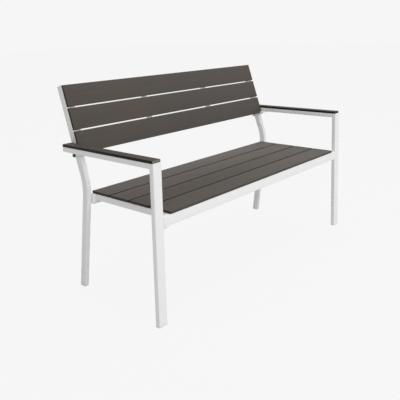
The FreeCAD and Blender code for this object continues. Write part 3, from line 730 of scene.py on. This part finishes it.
def tube_bar(name, low, high, axis):
    """A length of tube with rounded corners."""
    obj = block(name, low, high)
    bevel_edges(obj, along(axis), bpy.context.scene.bench_frame.tube_radius, TUBE_CORNER_STEPS)
    return obj


def lean_back(obj):
    """Turn an upright piece of the back into its place on the bench."""
    obj.rotation_euler.x = -bpy.context.scene.bench_boards.back_lean
    obj.location = PIVOT
    place_in_mesh(obj)
    smooth(obj)


def leg_lines():
    """Centre line of a rear leg in side view: its foot, the start of the bend, and the run above it."""
    metal = bpy.context.scene.bench_frame
    lean = bpy.context.scene.bench_boards.back_lean
    lower = Vector((0, -math.sin(metal.low_lean), math.cos(metal.low_lean)))
    rail_low, rail_high = upright_box("back_rail_left")
    half_depth = (rail_high.y - rail_low.y) / 2
    glide_low, glide_high = level_box("rear_glides", "left")
    foot = Vector((0, glide_high.y - half_depth / math.cos(metal.low_lean), glide_low.z))
    middle = (rail_high.y + rail_low.y) / 2
    top = PIVOT + Vector((0, math.cos(lean), -math.sin(lean))) * middle
    top.x = 0
    # The knee is where the lower and the upper centre line meet
    slope = math.tan(metal.low_lean)
    reach = (top - foot).y + (top - foot).z * slope
    upper_run = reach / (math.sin(lean) + math.cos(lean) * slope)
    knee = top - up_the_back() * upper_run
    setback = metal.bend_radius * math.tan((metal.low_lean + lean) / 2)
    return foot, knee - lower * setback, upper_run - setback


def leg_bar(name):
    """The whole left rear leg as a bent bar, from under the floor to the level of the pivot."""
    metal = bpy.context.scene.bench_frame
    foot, bend_start, upper_run = leg_lines()
    leg_low, leg_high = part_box("rear_leg_left")
    rail_low, rail_high = upright_box("back_rail_left")
    half = (rail_high.y - rail_low.y) / 2
    length = (bend_start - foot).length
    obj = tube_bar(name, (leg_low.x, -half, -length - half), (leg_high.x, half, 0), Z)
    turn = metal.low_lean + bpy.context.scene.bench_boards.back_lean

    def work():
        pick_faces(obj, lambda centre, normal: normal.z > LOOKS_UP_FROM)
        bpy.ops.mesh.spin(
            steps=metal.bend_steps, angle=turn, center=(0, metal.bend_radius, 0), axis=ALONG_BENCH)
        way = Vector((0, math.sin(turn), math.cos(turn))) * upper_run
        bpy.ops.mesh.extrude_region_move(TRANSFORM_OT_translate={"value": way})
    in_edit_mode(obj, "FACE", work)
    obj.rotation_euler.x = metal.low_lean
    obj.location = bend_start
    place_in_mesh(obj)
    outward(obj)
    return obj


def shape_lobes(obj, centre, settings):
    """Draw the rim of a drum in between its lobes, which are counted from the rear of the leaning back."""
    lean = bpy.context.scene.bench_boards.back_lean
    mesh = bmesh.new()
    mesh.from_mesh(obj.data)
    for vertex in mesh.verts:
        way = vertex.co - centre
        angle = math.atan2(way.z, way.y) + lean
        dip = settings.knob_dip * (1 - math.cos(settings.knob_lobes * angle)) / 2
        radius = math.hypot(way.y, way.z)
        share = (radius - dip) / radius
        vertex.co = Vector((vertex.co.x, centre.y + way.y * share, centre.z + way.z * share))
    mesh.to_mesh(obj.data)
    mesh.free()


def dish_face(obj, face):
    """Sink the middle of a knob's face a little below its rim."""
    def work():
        pick_faces(obj, lambda centre, normal: abs(centre.x - face) < FACE_WITHIN)
        bpy.ops.mesh.inset(thickness=DISH_RIM, depth=0.0)
        bpy.ops.mesh.inset(thickness=DISH_DEPTH, depth=-DISH_DEPTH)
    in_edit_mode(obj, "FACE", work)


# Operators

class BENCH_OT_finishes(bpy.types.Operator):
    """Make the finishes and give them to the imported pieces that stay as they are"""
    bl_idname = "bench.finishes"
    bl_label = "Finishes"

    def execute(self, context):
        make_board_materials()
        make_frame_materials()
        by_slot = {"frame_white": "White powder coat", "slat_brown": "Brown back board",
                   "steel": "Zinc plated steel", "plastic_pale": "Pale plastic",
                   "plastic_black": "Black plastic", "nylon": "Nylon"}
        for part in frame["record"]["subparts"]:
            materials = frame["nodes"][part["node"]].data.materials
            materials.clear()
            materials.append(bpy.data.materials[by_slot[part["material_slot"]]])
        return {"FINISHED"}


class BENCH_OT_seat_boards(bpy.types.Operator):
    """Model the four boards of the seat"""
    bl_idname = "bench.seat_boards"
    bl_label = "Seat boards"

    def execute(self, context):
        ease = REARWARD * context.scene.bench_boards.side_ease
        for node in SEAT_BOARDS:
            low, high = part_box(node)
            obj = board("board_" + node, low + ease, high - ease, X)
            finish_piece(obj, "frame", "Brown seat board " + node[-1], "slat_brown", node)
        return {"FINISHED"}


class BENCH_OT_arm_boards(bpy.types.Operator):
    """Model the arm rest on each arm"""
    bl_idname = "bench.arm_boards"
    bl_label = "Arm rests"

    def execute(self, context):
        for side in SIDES:
            node = "arm_slat_" + side
            low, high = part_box(node)
            obj = board("board_" + node, low, high, Y)
            finish_piece(obj, "frame", "Brown arm board, " + side, "slat_brown", node)
        return {"FINISHED"}


class BENCH_OT_back_boards(bpy.types.Operator):
    """Model the three boards of the folding back, leaning as the back does at rest"""
    bl_idname = "bench.back_boards"
    bl_label = "Back boards"

    def execute(self, context):
        ease = UPWARD * context.scene.bench_boards.top_ease
        for node in BACK_BOARDS:
            low, high = upright_box(node)
            obj = board("board_" + node, low, high - ease, X)
            lean_back(obj)
            finish_piece(obj, "back", "Brown back board", "slat_brown", node)
        return {"FINISHED"}


class BENCH_OT_front_tubes(bpy.types.Operator):
    """Model the front legs and arm tubes with their mitred corners"""
    bl_idname = "bench.front_tubes"
    bl_label = "Front legs and arms"

    def execute(self, context):
        leg_low, leg_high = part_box("front_leg_left")
        corner = (leg_low.x, leg_low.y, leg_high.z)
        leg = tube_bar("tube_front_leg_left", leg_low, leg_high, Z)
        cut_off(leg, corner, MITRE)
        bevel_edges(leg, on_plane(corner, MITRE), *GROOVE)
        bevel_edges(leg, on_plane(leg_low, UPWARD), *GROOVE)
        arm_low, arm_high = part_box("arm_tube_left")
        arm = tube_bar("tube_arm_left", arm_low, arm_high, Y)
        cut_off(arm, corner, -MITRE)
        bevel_edges(arm, on_plane(corner, MITRE), *GROOVE)
        bevel_edges(arm, on_plane(arm_high, REARWARD), *GROOVE)
        paint_tube(mirrored(leg, "tube_front_leg_right"), "frame", "front_leg_right")
        paint_tube(mirrored(arm, "tube_arm_right"), "frame", "arm_tube_right")
        paint_tube(leg, "frame", "front_leg_left")
        paint_tube(arm, "frame", "arm_tube_left")
        return {"FINISHED"}


class BENCH_OT_seat_rails(bpy.types.Operator):
    """Model the front and rear rails of the seat"""
    bl_idname = "bench.seat_rails"
    bl_label = "Seat rails"

    def execute(self, context):
        for node in ("front_rail", "rear_rail"):
            low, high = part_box(node)
            rail = tube_bar("tube_" + node, low, high, X)
            for end in (low, high):
                bevel_edges(rail, on_plane(end, ALONG_BENCH), *GROOVE)
            paint_tube(rail, "frame", node)
        return {"FINISHED"}


class BENCH_OT_rear_legs(bpy.types.Operator):
    """Model the bent rear legs with their glides and top plugs"""
    bl_idname = "bench.rear_legs"
    bl_label = "Rear legs"

    def execute(self, context):
        upper = up_the_back()
        top = PIVOT + upper * upright_box("rear_leg_plugs", "left")[1].z
        joint = PIVOT + upper * upright_box("rear_leg_left")[1].z
        foot = Vector((0, 0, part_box("rear_leg_left")[0].z))
        floor = Vector((0, 0, CAD_LOW.z))
        leg = leg_bar("tube_rear_leg_left")
        cut_off(leg, foot, -UPWARD)
        cut_off(leg, joint, upper)
        for point, normal in ((foot, UPWARD), (joint, upper)):
            bevel_edges(leg, on_plane(point, normal), *GROOVE)
        glide = leg_bar("glide_rear_left")
        cut_off(glide, floor, -UPWARD)
        cut_off(glide, foot, UPWARD)
        bevel_edges(glide, on_plane(floor, UPWARD), *GLIDE_ROUNDING)
        plug = leg_bar("plug_rear_leg_left")
        cut_off(plug, joint, -upper)
        cut_off(plug, top, upper)
        bevel_edges(plug, on_plane(top, upper), *PLUG_ROUNDING)
        for piece in (leg, glide, plug):
            smooth(piece)
        leg_twin = mirrored(leg, "tube_rear_leg_right")
        glide_twin = mirrored(glide, "glide_rear_right")
        plug_twin = mirrored(plug, "plug_rear_leg_right")
        paint_tube(leg, "frame", "rear_leg_left")
        paint_tube(leg_twin, "frame", "rear_leg_right")
        for piece in (glide, glide_twin):
            finish_plug(piece, "frame", "rear_glides")
        for piece in (plug, plug_twin):
            finish_plug(piece, "frame", "rear_leg_plugs")
        return {"FINISHED"}


class BENCH_OT_back_rails(bpy.types.Operator):
    """Model the two rails of the folding back and their top caps"""
    bl_idname = "bench.back_rails"
    bl_label = "Back rails"

    def execute(self, context):
        for side in SIDES:
            low, high = upright_box("back_rail_" + side)
            rail = tube_bar("tube_back_rail_" + side, low, high, Z)
            for end in (low, high):
                bevel_edges(rail, on_plane(end, UPWARD), *GROOVE)
            lean_back(rail)
            paint_tube(rail, "back", "back_rail_" + side)
            cap_low, cap_high = upright_box("back_rail_caps", side)
            cap_low.z = high.z
            cap = tube_bar("cap_back_rail_" + side, cap_low, cap_high, Z)
            bevel_edges(cap, on_plane(cap_high, UPWARD), *CAP_ROUNDING)
            lean_back(cap)
            finish_plug(cap, "back", "back_rail_caps")
        return {"FINISHED"}


class BENCH_OT_caps_and_glides(bpy.types.Operator):
    """Model the caps of the arm tubes and the glides of the front legs"""
    bl_idname = "bench.caps_and_glides"
    bl_label = "Arm caps and front glides"

    def execute(self, context):
        for side in SIDES:
            low, high = level_box("arm_caps", side)
            low.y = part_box("arm_tube_" + side)[1].y
            cap = tube_bar("cap_arm_" + side, low, high, Y)
            bevel_edges(cap, on_plane(high, REARWARD), *CAP_ROUNDING)
            smooth(cap)
            finish_plug(cap, "frame", "arm_caps")
            low, high = level_box("front_glides", side)
            high.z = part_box("front_leg_" + side)[0].z
            glide = tube_bar("glide_front_" + side, low, high, Z)
            bevel_edges(glide, on_plane(low, UPWARD), *GLIDE_ROUNDING)
            smooth(glide)
            finish_plug(glide, "frame", "front_glides")
        return {"FINISHED"}


class BENCH_OT_pivots(bpy.types.Operator):
    """Model the black caps and the lock nuts of the pivots"""
    bl_idname = "bench.pivots"
    bl_label = "Pivots"

    def execute(self, context):
        for side in SIDES:
            low, high = level_box("pivot_caps", side)
            face, base = outer_and_inner(low, high, side)
            radius = (high.z - low.z) / 2
            cap = drum("cap_pivot_" + side, radius, PIVOT, base, face, PIVOT_CAP_SIDES)
            bevel_edges(cap, at_x(face), radius * DOME_SHARE, DOME_STEPS)
            bevel_edges(cap, at_x(base), *GROOVE)
            smooth(cap)
            finish_piece(cap, "frame", "Black plastic", "plastic_black", "pivot_caps")
            low, high = level_box("pivot_nuts", side)
            outer, inner = outer_and_inner(low, high, side)
            # The left side is negative, so the sign of the outer end points outwards
            collar = inner + math.copysign(COLLAR_HEIGHT, outer)
            nut = drum("nut", (high.y - low.y) / 2, PIVOT, outer, collar, NUT_SIDES)
            for place in (outer, collar):
                bevel_edges(nut, at_x(place), *NUT_ROUNDING)
            ring = drum("ring", COLLAR_RADIUS, PIVOT, collar, inner, COLLAR_SIDES)
            bevel_edges(ring, at_x(inner), *COLLAR_ROUNDING)
            nut = joined("nut_pivot_" + side, [nut, ring])
            smooth(nut)
            finish_piece(nut, "frame", "Zinc plated steel", "steel", "pivot_nuts")
        return {"FINISHED"}


class BENCH_OT_lock_knobs(bpy.types.Operator):
    """Model the lobed knobs that clamp the folding back"""
    bl_idname = "bench.lock_knobs"
    bl_label = "Lock knobs"

    def execute(self, context):
        settings = context.scene.bench_frame
        for side in SIDES:
            node = "lock_knob_" + side
            centre = Vector(JOINTS["lock_%s_turn" % side]["pos_m"])
            base, face = outer_and_inner(*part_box(node), side)
            lip = base + (face - base) * KNOB_FLANGE_SHARE
            flange = drum("flange", KNOB_FLANGE_RADIUS, centre, base, lip, KNOB_FLANGE_SIDES)
            bevel_edges(flange, at_x(base), *KNOB_FLANGE_ROUNDING)
            grip = drum("grip", settings.knob_radius, centre, lip, face, KNOB_SIDES)
            shape_lobes(grip, centre, settings)
            for place, rounding in ((lip, KNOB_BACK_ROUNDING), (face, KNOB_FACE_ROUNDING)):
                bevel_edges(grip, at_x(place), *rounding)
            dish_face(grip, face)
            knob = joined("knob_lock_" + side, [grip, flange])
            smooth(knob, KNOB_SHADE_ANGLE)
            finish_piece(knob, "lock_" + side, "Black plastic", "plastic_black", node)
        return {"FINISHED"}


# Stage

def shown_ray(tree):
    """One for rays from the camera, mirrors and glass, else zero."""
    path = tree.nodes.new("ShaderNodeLightPath")
    rays = math_node(tree, "ADD", path.outputs["Is Camera Ray"], path.outputs["Is Glossy Ray"])
    return math_node(tree, "ADD", rays, path.outputs["Is Transmission Ray"], clamp=True)


def grey_shader(tree, kind, level, strength=None):
    """A shader of one kind in a grey, with a strength where it has one."""
    node = tree.nodes.new(kind)
    node.inputs["Color"].default_value = (level, level, level, 1.0)
    if strength is not None:
        node.inputs["Strength"].default_value = strength
    return node


def mix_shown(tree, output, share, lighting, shown):
    """Mix the shader that lights the bench with the one that the camera sees, by a share."""
    mix = tree.nodes.new("ShaderNodeMixShader")
    tree.links.new(share, mix.inputs["Fac"])
    tree.links.new(lighting.outputs[0], mix.inputs[1])
    tree.links.new(shown.outputs[0], mix.inputs[2])
    tree.links.new(mix.outputs[0], output.inputs["Surface"])


def make_floor(settings):
    """Pale floor that melts into the backdrop and keeps a soft shadow."""
    pick_nothing()
    bpy.ops.mesh.primitive_plane_add(size=settings.floor_size, location=(0, 0, CAD_LOW.z))
    floor = bpy.context.object
    floor.name = "floor"
    place_in_mesh(floor)
    material = bpy.data.materials.new("Pale floor")
    material.use_nodes = True
    tree = material.node_tree
    tree.nodes.clear()
    output = tree.nodes.new("ShaderNodeOutputMaterial")
    lit = grey_shader(tree, "ShaderNodeBsdfDiffuse", LIT_FLOOR_LEVEL)
    plain = grey_shader(tree, "ShaderNodeEmission", 1.0, settings.floor_level)
    share = math_node(tree, "MULTIPLY", shown_ray(tree), 1.0 - settings.floor_shadow)
    mix_shown(tree, output, share, lit, plain)
    floor.data.materials.append(material)


def make_world(settings):
    """Even light all round; the camera, mirrors and glass see the pale backdrop."""
    world = bpy.data.worlds.new("Backdrop")
    bpy.context.scene.world = world
    world.use_nodes = True
    tree = world.node_tree
    tree.nodes.clear()
    output = tree.nodes.new("ShaderNodeOutputWorld")
    sky = grey_shader(tree, "ShaderNodeBackground", 1.0, settings.sky_strength)
    plain = grey_shader(tree, "ShaderNodeBackground", 1.0, settings.backdrop_level)
    mix_shown(tree, output, shown_ray(tree), sky, plain)


def make_lamp(name, power, size, place):
    """A large square lamp that looks at the bench."""
    data = bpy.data.lights.new(name, "AREA")
    data.shape = "SQUARE"
    data.size = size
    data.energy = power
    lamp = bpy.data.objects.new(name, data)
    bpy.context.scene.collection.objects.link(lamp)
    lamp.location = place
    way = Vector(LAMP_TARGET) - Vector(place)
    lamp.rotation_euler = way.to_track_quat("-Z", "Y").to_euler()


def make_camera(settings):
    """The photograph's viewpoint."""
    data = bpy.data.cameras.new("camera")
    data.lens = settings.camera_lens
    data.sensor_width = SENSOR_WIDTH
    data.shift_y = settings.camera_shift
    camera = bpy.data.objects.new("camera", data)
    bpy.context.scene.collection.objects.link(camera)
    turn = Matrix.Rotation(-settings.camera_heading, 4, "Z")
    tilt = Matrix.Rotation(math.radians(90) - settings.camera_pitch, 4, "X")
    roll = Matrix.Rotation(-settings.camera_roll, 4, "Z")
    camera.matrix_world = Matrix.Translation(Vector(settings.camera_place)) @ turn @ tilt @ roll
    bpy.context.scene.camera = camera


class BENCH_OT_stage(bpy.types.Operator):
    """Set the floor, the lamps, the world and the camera"""
    bl_idname = "bench.stage"
    bl_label = "Stage"

    def execute(self, context):
        settings = context.scene.bench_stage
        make_floor(settings)
        make_world(settings)
        make_lamp("key_lamp", settings.key_power, KEY_SIZE, KEY_PLACE)
        make_lamp("top_lamp", settings.top_power, TOP_SIZE, TOP_PLACE)
        make_camera(settings)
        context.scene.view_settings.view_transform = "Standard"
        return {"FINISHED"}


# Panel and run

class BENCH_PT_panel(bpy.types.Panel):
    """Bench settings and steps"""
    bl_idname = "BENCH_PT_panel"
    bl_label = "Bench"
    bl_space_type = "VIEW_3D"
    bl_region_type = "UI"
    bl_category = "Bench"

    def draw(self, context):
        for group in SETTINGS:
            settings = getattr(context.scene, group)
            box = self.layout.box()
            for name in settings.bl_rna.properties.keys():
                if name not in ("rna_type", "name"):
                    box.prop(settings, name)
        for step in STEPS:
            self.layout.operator(step.bl_idname)


SETTINGS = {"bench_boards": BenchBoardSettings, "bench_frame": BenchFrameSettings,
            "bench_stage": BenchStageSettings}
STEPS = (BENCH_OT_finishes, BENCH_OT_seat_boards, BENCH_OT_arm_boards, BENCH_OT_back_boards,
         BENCH_OT_front_tubes, BENCH_OT_seat_rails, BENCH_OT_rear_legs, BENCH_OT_back_rails,
         BENCH_OT_caps_and_glides, BENCH_OT_pivots, BENCH_OT_lock_knobs, BENCH_OT_stage)


def register():
    """Register the settings, operators and panel."""
    for name, kind in SETTINGS.items():
        bpy.utils.register_class(kind)
        setattr(bpy.types.Scene, name, PointerProperty(type=kind))
    for kind in (*STEPS, BENCH_PT_panel):
        bpy.utils.register_class(kind)


def unregister():
    """Take the settings, operators and panel away again."""
    for kind in (*STEPS, BENCH_PT_panel):
        bpy.utils.unregister_class(kind)
    for name, kind in SETTINGS.items():
        delattr(bpy.types.Scene, name)
        bpy.utils.unregister_class(kind)


def main():
    """Run every step."""
    register()
    for step in STEPS:
        category, action = step.bl_idname.split(".")
        getattr(getattr(bpy.ops, category), action)()


if __name__ == "__main__":
    main()
